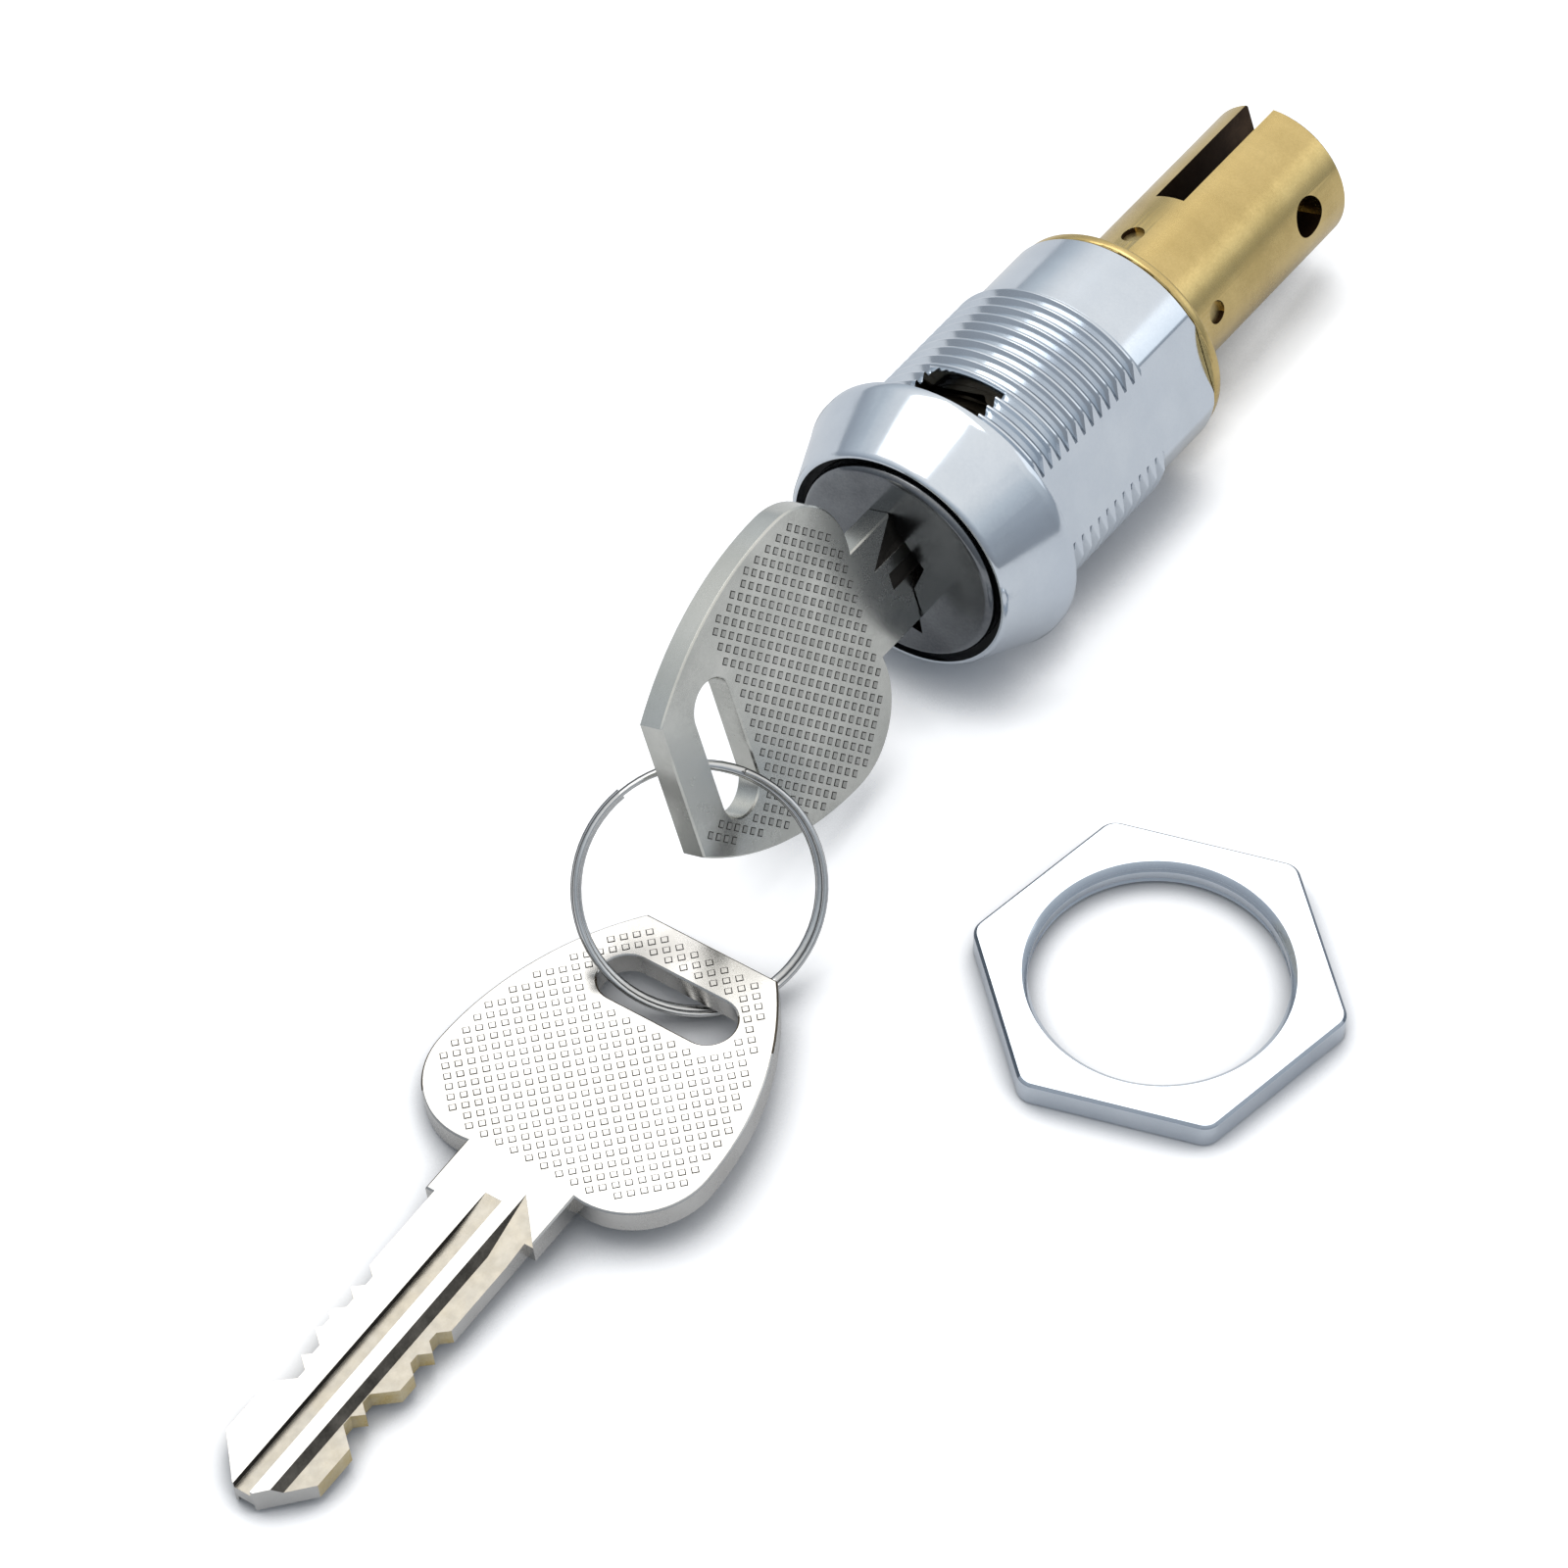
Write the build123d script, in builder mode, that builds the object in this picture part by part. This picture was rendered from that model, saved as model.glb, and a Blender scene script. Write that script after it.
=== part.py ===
from build123d import *
from math import asin, atan, cos, degrees, pi, radians, sin, sqrt, tan
import os

os.makedirs("parts", exist_ok=True)

# A key-operated cylinder lock with its key, key ring, spare key and fixing nut, in millimetres.
# The origin is on the lock's axis at the bezel's seat, +Y runs along the lock towards its tail and
# +Z is up. Everything lies on one flat surface, the lock on its bezel's rim and its barrel's end.

# Bezel, the wide front ring
bezel_d = 25.9          # over its rear band, the widest place
bezel_front_d = 21.3    # over the thin front lip
bezel_depth = 7.0       # seat to front lip
bezel_band = 1.3        # length of the straight band at the seat
bezel_edge = 0.35       # bevel of the band's two edges and of the lip
bezel_bore_d = 20.2     # counterbore that the plug's head turns in
bezel_bore_depth = 2.4

# Barrel, which passes through the panel
thread_d = 22.0
thread_pitch = 1.2
thread_height = 0.68
thread_crest = 0.18     # flat on a crest
thread_flank = 0.36     # length of a flank along the axis
thread_turns = 13
thread_lead = 0.95      # from the seat to the first crest
barrel_d = 21.0         # plain rear stretch
barrel_length = 24.2    # seat to rear end
barrel_edge = 0.3
flats_across = 19.2     # the two flats that stop it turning in the panel
window_width = 7.0      # opening through the barrel close behind the bezel
window_length = 3.8
window_inset = 0.9      # seat to the opening
window_turn = 10.0      # to the right of the key's plane, seen from the front

# Plug, which the key turns
plug_d = 16.0
plug_play = 0.05        # running clearance of the plug, round it and endways
head_d = 18.8           # over the polished cap
cap_wall = 0.4
cap_skirt = 1.9
cap_edge = 0.7          # rounding of the cap's rim
face_proud = 0.4        # the cap stands this far out of the bezel's lip
shank_d = 8.8           # rear shank that the tail is pinned to
shank_length = 8.6      # inside the tail
stop_angle = 18.0       # width of the lug under the head that limits the turn
stop_height = 0.7
stop_play = 1.0         # degrees of free turn at each stop
turn_range = 90.0

# Seal, the black ring in the gap round the cap
seal_height = 1.2
seal_play = 0.04

# Keys
key_thick = 2.3
blade_width = 8.9
blade_length = 30.1     # shoulder to tip
blade_nose = 2.0        # width of the blunt tip
nose_length = 3.6       # length of the two slopes behind the tip
neck_width = 10.6
neck_length = 5.4       # shoulder to the bow
bow_length = 31.0       # shoulder to the bow's straight end
bow_width = 26.7
bow_end_width = 12.9
bow_lobe_r = 7.0        # round of the bow beside the neck
slot_length = 12.9
slot_width = 4.6
slot_inset = 6.1        # bow's straight end to the slot's middle
bow_edge = 0.15
groove_width = 1.6      # groove milled along the blade
groove_depth = 0.6
groove_y = 0.1          # its middle, left of the blade's middle line
groove_end = 2.1        # it runs this far past the shoulder
ledge_y = 1.95          # from here to the blade's right edge the face is milled lower
ledge_depth = 0.75
ledge_end = 3.6

# The key's cuts, from the one nearest the bow, left and right in turn
cut_first = 9.5         # shoulder to the first cut's middle
cut_pitch = 1.225
cut_floor = 0.9         # flat length at a cut's bottom
cut_flank = 50.0        # slope of a cut's sides from the blade's edge
cut_step = 0.45
cut_steps = [2, 2, 2, 2, 1, 0, 3, 4, 4, 4]

# Keyway
keyway_play = 0.12      # round the blade
ward_right = 3.0        # the relief beside the blade reaches this far right of the axis
ward_left = 2.2
ward_foot = 7.0         # and the narrow slot below it this far down
ward_slot = 1.2         # width of the narrow slot
ward_top = 3.65         # height of the right relief's upper end over the axis
ward_bend = 2.3         # its lower bend below the axis, and the left relief's upper end over it
ward_back = 1.5         # the left relief's lower end below the axis
relief_depth = 1.6      # of both, from the plug's face

# Wafers, one for each cut, and their springs
wafer_thick = 0.8
wafer_play = 0.04       # clearance on each side in its slot
wafer_width = 6.4
wafer_travel = 0.8      # out of the plug, when the key is drawn out
window_play = 0.15      # round the blade in a wafer's window
lug_width = 1.3         # side lug that the spring pushes
lug_height = 0.8
spring_d = 0.8
spring_length = 3.0
spring_play = 0.05

# Retaining wafer, which keeps the plug in the barrel
retainer_reach = 24.2   # from the key's shoulder to its middle
retainer_thick = 1.0
retainer_width = 4.0
retainer_root = 4.0     # from the axis to its inner end
retainer_proud = 0.6    # it stands this far out of the plug
retainer_spring_root = 1.9

# Tail
washer_d = 20.6
washer_thick = 0.9
washer_play = 0.05      # end play against the barrel
washer_edge = 0.15
tail_d = 13.5
tail_length = 24.7
tail_fit = 0.02
tail_edge = 0.25
tail_slot = 2.9
tail_slot_depth = 14.0
cross_hole_d = 3.6
cross_hole_reach = 5.35  # tail's end to the hole's middle
pin_d = 2.0
pin_count = 4
pin_reach = 5.2         # washer to the pins' middle
pin_recess = 0.5
pin_root = 2.2          # from the axis to a pin's inner end
pin_fit = 0.01

# Fixing nut
nut_across = 27.0
nut_thick = 2.6
nut_bore_d = 21.1
nut_grooves = 2         # turns of thread in the bore
nut_groove = 0.45       # width of one at the bore
nut_bore_edge = 0.45
nut_corner_r = 1.6
nut_edge = 0.25

# Key ring, a coil of two turns side by side with a step from one turn to the other
ring_d = 20.6           # over the wire
wire_d = 0.9
ring_step = 1.32        # from turn to turn, along the ring's axis
ring_least_gap = 0.4
wire_quarters = 7       # quarter turns of wire, the middle one stepping from turn to turn

# How the pieces lie
lock_roll = 22.5        # the key's plane leans this far from upright
key_gap = 0.05          # the key's shoulder to the cap
ring_right = 3.4        # the ring's middle, to the right of the inserted key's slot
ring_front = 7.18       # and in front of it
ring_heading = -42.3    # which way the ring leans, from +X
ring_lean = 43.1        # its plane from the floor
ring_turn = 120.0       # where the coil's step is, round the ring
spare_right = 2.55      # the spare key's shoulder, to the right of the ring's middle
spare_front = 33.05     # and in front of it
spare_turn = 0.51       # its bow's end points this far right of +Y
spare_roll = 6.2        # its right side is lifted by the ring
nut_x = 36.0
nut_y = -22.0
nut_turn = 18.6

# Worked out from the sizes above
bezel_r = bezel_d / 2
barrel_r = barrel_d / 2
thread_r = thread_d / 2
root_r = thread_r - thread_height
plug_r = plug_d / 2
bore_r = plug_r + plug_play
head_r = head_d / 2
core_r = head_r - cap_wall
tail_r = tail_d / 2
shank_r = shank_d / 2
washer_r = washer_d / 2
tilt = atan((bezel_r - barrel_r) / (barrel_length - barrel_edge + bezel_edge))
roll = radians(lock_roll)
floor_z = bezel_edge * sin(tilt) - bezel_r * cos(tilt)
face_z = bezel_depth + face_proud
head_floor = bezel_depth - bezel_bore_depth
head_z = head_floor + plug_play
shoulder_z = face_z + key_gap
washer_z = -barrel_length - washer_play
tail_z = washer_z - washer_thick
tail_end = tail_z - tail_length
keyway_x = key_thick / 2 + keyway_play
keyway_y = blade_width / 2 + keyway_play
keyway_floor = shoulder_z - blade_length - keyway_play
cut_count = len(cut_steps)
wafer_z = [shoulder_z - cut_first - number * cut_pitch for number in range(cut_count)]
slot_thick = wafer_thick + 2 * wafer_play
groove_r = plug_r + wafer_travel + 2 * spring_play
retainer_z = shoulder_z - retainer_reach
slot_reach = bow_length - slot_inset
ring_x = ring_right
ring_y = -ring_front - (shoulder_z + slot_reach) * cos(tilt)

# The lock's plane: x to the right, y up the key's plane, z out of the front
lock = Plane(
    origin=(0, 0, 0),
    x_dir=(cos(roll), sin(roll) * sin(tilt), sin(roll) * cos(tilt)),
    z_dir=(0, -cos(tilt), sin(tilt)),
)
lock_axis = Axis(lock.origin, lock.z_dir)
# A plane through the axis, for turned profiles: x is the radius, y runs along the lock's z
turning = Plane(origin=lock.origin, x_dir=lock.x_dir, z_dir=-lock.y_dir)


def outward(angle, height):
    """A plane on the lock's axis whose z looks outwards at an angle from the lock's x."""
    return Plane(
        origin=lock.origin + lock.z_dir * height,
        x_dir=lock.z_dir,
        z_dir=lock.x_dir.rotate(lock_axis, angle),
    )


def sector(radius, middle, width):
    """A slice of a disc, in the sketch that is open."""
    Circle(radius)
    corners = [(0, 0)]
    for angle in (middle - width / 2, middle, middle + width / 2):
        corners += [(2 * radius * cos(radians(angle)), 2 * radius * sin(radians(angle)))]
    Polygon(*corners, align=None, mode=Mode.INTERSECT)


def keyway_relief():
    """The wide part of the keyway in the plug's face, in the sketch that is open."""
    Rectangle(2 * keyway_x, 2 * keyway_y)
    # Wide to the right of the blade, coming back to the narrow slot at the foot
    Polygon((0, keyway_y), (keyway_x, ward_top), (ward_right, 0), (keyway_x, -ward_bend),
            (ward_slot / 2, -ward_foot), (-ward_slot / 2, -ward_foot + ward_slot / 2), (0, 0), align=None)
    # A smaller step to the left
    Polygon((0, ward_bend), (-keyway_x, ward_bend), (-ward_left, 0),
            (-ward_left, -ward_back), (0, -ward_back), align=None)


# Lock body: bezel and barrel in one casting
with BuildPart() as lock_body:
    with BuildSketch(turning):
        with BuildLine():
            last = -thread_lead - thread_turns * thread_pitch
            outline = [(bore_r, -barrel_length)]
            outline += [(barrel_r - barrel_edge, -barrel_length)]
            outline += [(barrel_r, -barrel_length + barrel_edge)]
            outline += [(barrel_r, last)]
            for turn in range(thread_turns):
                crest = last + turn * thread_pitch + thread_crest + thread_flank
                outline += [(root_r, crest - thread_flank)]
                outline += [(thread_r, crest)]
                outline += [(thread_r, crest + thread_crest)]
                outline += [(root_r, crest + thread_crest + thread_flank)]
            # A plain land between the thread and the seat
            outline += [(root_r, -thread_lead)]
            outline += [(thread_r, -thread_lead + thread_flank)]
            outline += [(thread_r, 0)]
            outline += [(bezel_r - bezel_edge, 0)]
            outline += [(bezel_r, bezel_edge)]
            outline += [(bezel_r, bezel_band - bezel_edge)]
            outline += [(bezel_r - bezel_edge / 2, bezel_band)]
            outline += [(bezel_front_d / 2, bezel_depth - bezel_edge)]
            outline += [(bezel_front_d / 2 - bezel_edge, bezel_depth)]
            outline += [(bezel_bore_d / 2, bezel_depth)]
            outline += [(bezel_bore_d / 2, head_floor)]
            outline += [(bore_r, head_floor)]
            Polyline(*outline, close=True)
        make_face()
    revolve(axis=lock_axis)
    # The two flats, from the seat to the rear end
    with BuildSketch(lock):
        with Locations((flats_across / 2 + thread_r, 0), (-flats_across / 2 - thread_r, 0)):
            Rectangle(thread_d, 2 * thread_d)
    extrude(amount=-barrel_length, mode=Mode.SUBTRACT)
    # Window behind the bezel
    with BuildSketch(outward(90 - window_turn, -window_inset - window_length / 2)):
        Rectangle(window_length, window_width)
    extrude(amount=thread_d, mode=Mode.SUBTRACT)
    # Four grooves in the bore that the wafers spring into, two for each place where the key comes out
    groove_end_z = wafer_z[-1] - cut_pitch
    with BuildSketch(lock.offset(groove_end_z)):
        Rectangle(wafer_width + 4 * spring_play, 2 * groove_r)
        Rectangle(2 * groove_r, wafer_width + 4 * spring_play)
    extrude(amount=wafer_z[0] + cut_pitch - groove_end_z, mode=Mode.SUBTRACT)
    # Round groove that holds the retaining wafer
    with BuildSketch(lock.offset(retainer_z - retainer_thick / 2 - plug_play)):
        Circle(plug_r + retainer_proud + 2 * plug_play)
    extrude(amount=retainer_thick + 2 * plug_play, mode=Mode.SUBTRACT)
    # Recess for the plug's stop lug, as long as the lug and the turn
    with BuildSketch(lock.offset(head_floor - stop_height)):
        sector(core_r, -90 - turn_range / 2, turn_range + stop_angle + 2 * stop_play)
    extrude(amount=stop_height, mode=Mode.SUBTRACT)

# Seal ring at the foot of the gap round the cap
with BuildPart() as face_seal:
    with BuildSketch(lock.offset(head_floor)):
        Circle(bezel_bore_d / 2)
        Circle(head_r + seal_play, mode=Mode.SUBTRACT)
    extrude(amount=seal_height)

# Plug with its head, stop lug, keyway, wafer slots and rear shank
with BuildPart() as plug:
    with BuildSketch(lock.offset(tail_z - shank_length)):
        Circle(shank_r)
    extrude(amount=shank_length + washer_thick + washer_play)
    with BuildSketch(lock.offset(-barrel_length)):
        Circle(plug_r)
    extrude(amount=barrel_length + head_z)
    with BuildSketch(lock.offset(head_z)):
        Circle(core_r)
    extrude(amount=face_z - cap_wall - head_z)
    head_rim = plug.edges().filter_by(GeomType.CIRCLE).sort_by(lock_axis)[-1]
    fillet(head_rim, cap_edge - cap_wall)
    with BuildSketch(lock.offset(head_z - stop_height)):
        sector(core_r - plug_play, -90, stop_angle)
    extrude(amount=stop_height)
    with BuildSketch(lock.offset(keyway_floor)):
        Rectangle(2 * keyway_x, 2 * keyway_y)
    extrude(amount=face_z - keyway_floor, mode=Mode.SUBTRACT)
    with BuildSketch(lock.offset(face_z - cap_wall)):
        keyway_relief()
    extrude(amount=-relief_depth, mode=Mode.SUBTRACT)
    for number, height in enumerate(wafer_z):
        push = 1 - 2 * (number % 2)
        # The wafer's slot, and beside it the pocket of its lug and spring
        with BuildSketch(lock.offset(height - slot_thick / 2)):
            Rectangle(wafer_width + 2 * wafer_play, plug_d)
        extrude(amount=slot_thick, mode=Mode.SUBTRACT)
        pocket_y = (wafer_travel - spring_length) * push / 2
        pocket_x = push * (wafer_width + lug_width) / 2
        with BuildSketch(lock.offset(height - spring_d / 2 - spring_play)):
            with Locations((pocket_x, pocket_y)):
                Rectangle(lug_width + 2 * spring_play,
                          lug_height + wafer_travel + spring_length + 2 * spring_play)
        extrude(amount=spring_d + 2 * spring_play, mode=Mode.SUBTRACT)
    with BuildSketch(lock.offset(retainer_z - retainer_thick / 2 - spring_play)):
        with Locations((retainer_spring_root, 0)):
            Rectangle(plug_d, retainer_width + 2 * spring_play, align=(Align.MIN, Align.CENTER))
    extrude(amount=retainer_thick + 2 * spring_play, mode=Mode.SUBTRACT)
    for number in range(pin_count):
        with BuildSketch(outward(number * 360 / pin_count, tail_z - pin_reach).offset(pin_root)):
            Circle(pin_d / 2 + pin_fit)
        extrude(amount=shank_r, mode=Mode.SUBTRACT)

# Polished cap pressed over the plug's head
with BuildPart() as plug_cap:
    with BuildSketch(lock.offset(face_z - cap_skirt)):
        Circle(head_r)
    extrude(amount=cap_skirt)
    cap_rim = plug_cap.edges().filter_by(GeomType.CIRCLE).sort_by(lock_axis)[-1]
    fillet(cap_rim, cap_edge)
    with BuildSketch(turning):
        with BuildLine():
            inner_r = cap_edge - cap_wall
            Line((0, face_z - cap_skirt), (core_r, face_z - cap_skirt))
            Line((core_r, face_z - cap_skirt), (core_r, face_z - cap_edge))
            CenterArc((core_r - inner_r, face_z - cap_edge), inner_r, 0, 90)
            Line((core_r - inner_r, face_z - cap_wall), (0, face_z - cap_wall))
            Line((0, face_z - cap_wall), (0, face_z - cap_skirt))
        make_face()
    revolve(axis=lock_axis, mode=Mode.SUBTRACT)
    with BuildSketch(lock.offset(face_z - cap_wall)):
        keyway_relief()
    extrude(amount=cap_wall, mode=Mode.SUBTRACT)

# Wafers with their springs: each is pushed up or down against one cut of the key
wafers = []
springs = []
for number, height in enumerate(wafer_z):
    push = 1 - 2 * (number % 2)
    lug_x = push * (wafer_width + lug_width) / 2
    with BuildPart() as wafer:
        with BuildSketch(lock.offset(height - wafer_thick / 2)):
            Circle(plug_r - wafer_play)
            Rectangle(wafer_width, plug_d, mode=Mode.INTERSECT)
            with Locations((lug_x, 0)):
                Rectangle(lug_width, lug_height)
            with Locations((0, -push * wafer_travel / 2)):
                Rectangle(key_thick + 2 * window_play, blade_width + 2 * window_play + wafer_travel,
                          mode=Mode.SUBTRACT)
        extrude(amount=wafer_thick)
    wafers.append(wafer.part)
    with BuildPart() as spring:
        standing = Plane(origin=lock.origin + lock.x_dir * lug_x + lock.z_dir * height,
                         x_dir=lock.x_dir, z_dir=lock.y_dir * -push)
        with BuildSketch(standing.offset(lug_height / 2)):
            Circle(spring_d / 2)
        extrude(amount=spring_length)
    springs.append(spring.part)

# Retaining wafer and its spring, which reach out to the right
with BuildPart() as retainer_wafer:
    with BuildSketch(lock.offset(retainer_z - retainer_thick / 2)):
        Circle(plug_r + retainer_proud)
        with Locations((retainer_root, 0)):
            Rectangle(plug_d, retainer_width, align=(Align.MIN, Align.CENTER), mode=Mode.INTERSECT)
    extrude(amount=retainer_thick)
with BuildPart() as retainer_spring:
    with BuildSketch(outward(0, retainer_z).offset(retainer_spring_root)):
        Circle(spring_d / 2)
    extrude(amount=retainer_root - retainer_spring_root)

# Brass washer between the barrel and the tail
with BuildPart() as thrust_washer:
    with BuildSketch(lock.offset(tail_z)):
        Circle(washer_r)
    extrude(amount=washer_thick)
    chamfer(thrust_washer.edges(), washer_edge)
    with BuildSketch(lock.offset(tail_z)):
        Circle(shank_r + tail_fit)
    extrude(amount=washer_thick, mode=Mode.SUBTRACT)

# Tail: a turned sleeve with a slot and a cross hole for what the lock works
with BuildPart() as tail_sleeve:
    with BuildSketch(lock.offset(tail_end)):
        Circle(tail_r)
    extrude(amount=tail_length)
    chamfer(tail_sleeve.edges(), tail_edge)
    with BuildSketch(lock.offset(tail_z)):
        Circle(shank_r + tail_fit)
    extrude(amount=-shank_length - plug_play, mode=Mode.SUBTRACT)
    with BuildSketch(lock.offset(tail_end)):
        Rectangle(tail_slot, 2 * tail_d)
    extrude(amount=tail_slot_depth, mode=Mode.SUBTRACT)
    with BuildSketch(outward(0, tail_end + cross_hole_reach)):
        Circle(cross_hole_d / 2)
    extrude(amount=tail_d, both=True, mode=Mode.SUBTRACT)
    for number in range(pin_count):
        with BuildSketch(outward(number * 360 / pin_count, tail_z - pin_reach)):
            Circle(pin_d / 2 + pin_fit)
        extrude(amount=tail_d, mode=Mode.SUBTRACT)

with BuildPart() as tail_pins:
    for number in range(pin_count):
        with BuildSketch(outward(number * 360 / pin_count, tail_z - pin_reach).offset(pin_root)):
            Circle(pin_d / 2)
        extrude(amount=tail_r - pin_recess - pin_root)

# Fixing nut, taken off the barrel and lying flat
nut_place = Plane(
    origin=(nut_x, nut_y, floor_z),
    x_dir=(cos(radians(nut_turn)), sin(radians(nut_turn)), 0),
    z_dir=(0, 0, 1),
)
nut_axis = Axis(nut_place.origin, nut_place.z_dir)
with BuildPart() as hex_nut:
    with BuildSketch(nut_place) as nut_outline:
        RegularPolygon(nut_across / 2, 6, major_radius=False)
        fillet(nut_outline.vertices(), nut_corner_r)
    extrude(amount=nut_thick)
    chamfer(hex_nut.faces().sort_by(nut_axis)[-1].edges(), nut_edge)
    chamfer(hex_nut.faces().sort_by(nut_axis)[0].edges(), nut_edge)
    nut_r = nut_bore_d / 2
    with BuildSketch(Plane(origin=nut_place.origin, x_dir=nut_place.x_dir, z_dir=-nut_place.y_dir)):
        with BuildLine():
            profile = [(0, 0), (nut_r + nut_bore_edge, 0), (nut_r, nut_bore_edge)]
            first_groove = (nut_thick - (nut_grooves - 1) * thread_pitch) / 2
            for groove in range(nut_grooves):
                middle = first_groove + groove * thread_pitch
                profile += [(nut_r, middle - nut_groove / 2), (nut_r + nut_groove / 2, middle)]
                profile += [(nut_r, middle + nut_groove / 2)]
            profile += [(nut_r, nut_thick - nut_bore_edge), (nut_r + nut_bore_edge, nut_thick)]
            profile += [(0, nut_thick)]
            Polyline(*profile, close=True)
        make_face()
    revolve(axis=nut_axis, mode=Mode.SUBTRACT)


def make_key(place):
    """A key on a plane: x from its shoulder towards the bow, y to its left, z out of its upper face."""
    half = blade_width / 2
    thick_axis = Axis(place.origin, place.z_dir)
    with BuildPart() as key:
        # Bow and neck, with bevelled edges
        with BuildSketch(place.offset(-key_thick / 2)):
            with BuildLine():
                lobe_y = bow_width / 2 - bow_lobe_r
                lobe_angle = degrees(asin((neck_width / 2 - lobe_y) / bow_lobe_r))
                lobe_x = neck_length + bow_lobe_r * cos(radians(lobe_angle))
                lobe = CenterArc((lobe_x, lobe_y), bow_lobe_r, 90, 90 - lobe_angle)
                Polyline((0, 0), (0, neck_width / 2), lobe @ 1)
                flank = TangentArc(lobe @ 0, (bow_length, bow_end_width / 2), tangent=(1, 0))
                Line(flank @ 1, (bow_length, 0))
                mirror(about=Plane.XZ)
            make_face()
            with Locations((slot_reach, 0)):
                SlotOverall(slot_length, slot_width, rotation=90, mode=Mode.SUBTRACT)
        extrude(amount=key_thick)
        chamfer(key.faces().sort_by(thick_axis)[-1].edges(), bow_edge)
        chamfer(key.faces().sort_by(thick_axis)[0].edges(), bow_edge)
        # Blade, with its cuts on both sides
        with BuildSketch(place.offset(-key_thick / 2)):
            nose_x = nose_length - blade_length
            Polygon((-blade_length, -blade_nose / 2), (nose_x, -half), (groove_end, -half),
                    (groove_end, half), (nose_x, half), (-blade_length, blade_nose / 2), align=None)
            for number, steps in enumerate(cut_steps):
                if steps:
                    side = 1 - 2 * (number % 2)
                    middle = -cut_first - number * cut_pitch
                    depth = steps * cut_step
                    spread = cut_floor / 2 + 2 * depth / tan(radians(cut_flank))
                    Polygon((middle - cut_floor / 2, side * (half - depth)),
                            (middle + cut_floor / 2, side * (half - depth)),
                            (middle + spread, side * (half + depth)),
                            (middle - spread, side * (half + depth)), align=None, mode=Mode.SUBTRACT)
        extrude(amount=key_thick)
        # A groove and a lower ledge along the upper face, and the same along the lower face
        for face in (place, Plane(origin=place.origin, x_dir=place.x_dir, z_dir=-place.z_dir)):
            with BuildSketch(face.offset(key_thick / 2)):
                with Locations((groove_end, groove_y)):
                    Rectangle(blade_length + 2 * groove_end, groove_width, align=(Align.MAX, Align.CENTER))
            extrude(amount=-groove_depth, mode=Mode.SUBTRACT)
            with BuildSketch(face.offset(key_thick / 2)):
                Polygon((-2 * blade_length, -ledge_y), (ledge_end, -ledge_y), (0, -neck_width / 2),
                        (0, -bow_width), (-2 * blade_length, -bow_width), align=None)
            extrude(amount=-ledge_depth, mode=Mode.SUBTRACT)
    return key.part


# The key in the lock, seen from the right with its bow to the front
shoulder = lock.origin + lock.z_dir * shoulder_z
key_inserted = make_key(Plane(origin=shoulder, x_dir=lock.z_dir, z_dir=lock.x_dir))

# The spare key lies on its blade's corner and its bow's left side, with the ring under its right side
lift = radians(spare_roll)
lobe_reach = neck_length + sqrt(bow_lobe_r ** 2 - (neck_width / 2 - bow_width / 2 + bow_lobe_r) ** 2)
corner_reach = nose_length - blade_length
pitch = asin((bow_width - blade_width) / 2 / (lobe_reach - corner_reach) * sin(lift))
spare_rise = bow_width / 2 * sin(lift) + key_thick / 2 * cos(lift) * cos(pitch) - lobe_reach * sin(pitch)
spare_along = Vector(0, cos(pitch), sin(pitch)).rotate(Axis.Z, -spare_turn)
spare_across = Vector(cos(lift), 0, sin(lift)).rotate(Axis.Z, -spare_turn)
spare_plane = Plane(
    origin=(ring_x + spare_right, ring_y - spare_front, floor_z + spare_rise),
    x_dir=spare_along,
    z_dir=spare_across.cross(spare_along),
)
key_spare = make_key(spare_plane)

# Key ring: each turn lies flat in its own layer, and a quarter turn steps from the first to the
# second, so that the wire's two ends lie at the two ends of that step
ring_mid_r = ring_d / 2 - wire_d / 2
lean = radians(ring_lean)
heading = radians(ring_heading)
ring_rise = ring_mid_r * sin(lean) + ring_step / 2 * cos(lean) + wire_d / 2
ring_normal = Vector(cos(heading) * sin(lean), sin(heading) * sin(lean), cos(lean))
ring_place = Plane(
    origin=(ring_x, ring_y, floor_z + ring_rise),
    x_dir=Vector(0, 0, 1).cross(ring_normal),
    z_dir=ring_normal,
)


def ring_point(angle, layer):
    """A point on the wire's middle line, at an angle round the ring and in a layer."""
    turned = radians(ring_turn + angle)
    return ring_place.from_local_coords(
        Vector(ring_mid_r * cos(turned), ring_mid_r * sin(turned), layer * ring_step / 2))


def ring_way(angle):
    """The wire's direction there."""
    turned = radians(ring_turn + angle)
    return ring_place.from_local_coords(Vector(-sin(turned), cos(turned), 0)) - ring_place.origin


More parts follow.
